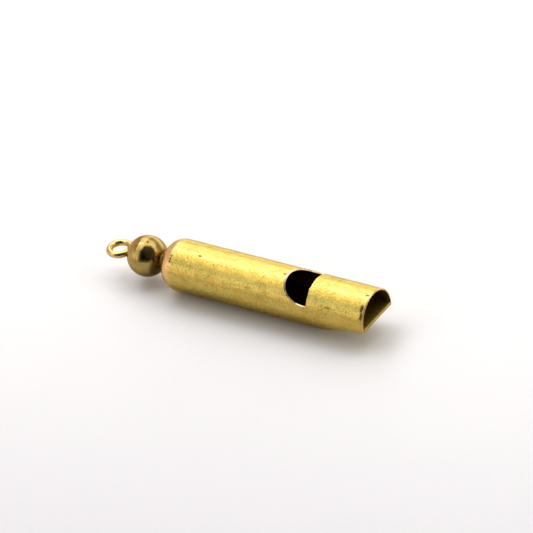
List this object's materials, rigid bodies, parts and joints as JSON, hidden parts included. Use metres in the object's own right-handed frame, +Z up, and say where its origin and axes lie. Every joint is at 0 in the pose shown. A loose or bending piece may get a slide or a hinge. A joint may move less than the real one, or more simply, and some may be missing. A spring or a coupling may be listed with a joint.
{
  "type": "whistle",
  "caption": "Short round end-blown pocket whistle with a half-moon sound window, a scooped beak with a D-shaped mouth, a ball finial and a swivelling cord eye.",
  "frame": {"origin": "centre of the whistle's box at rest, on the surface that the tube lies on", "axes": "+X along the tube towards the mouth, +Z up, with the beak's scooped side facing down and the sound window up"},
  "size_m": [0.0595, 0.01, 0.01],
  "materials": {
    "drawn_tube": "aged drawn brass, worn satin with fine lengthwise scratches and pits",
    "sheet_plate": "aged sheet brass, filed and rubbed along the beak",
    "turned_brass": "turned brass, dull",
    "polished_ball": "burnished brass, brighter than the tube",
    "brass_wire": "worn round brass wire",
    "soft_solder": "dull grey soft solder"
  },
  "bodies": {
    "whistle": {"barrel": "drawn_tube", "beak_plate": "sheet_plate", "fipple_block": "turned_brass", "plate_solder": "soft_solder", "ball_inner_half": "polished_ball", "ball_outer_half": "polished_ball", "neck_stud": "turned_brass"},
    "eye": {"eye_loop": "brass_wire", "eye_washer": "turned_brass"}
  },
  "joints": [
    {"name": "eye_swivel", "type": "hinge", "parent": "whistle", "child": "eye", "pos_m": [-0.02439, 0, 0.005], "axis": [1, 0, 0], "continuous": true}
  ]
}
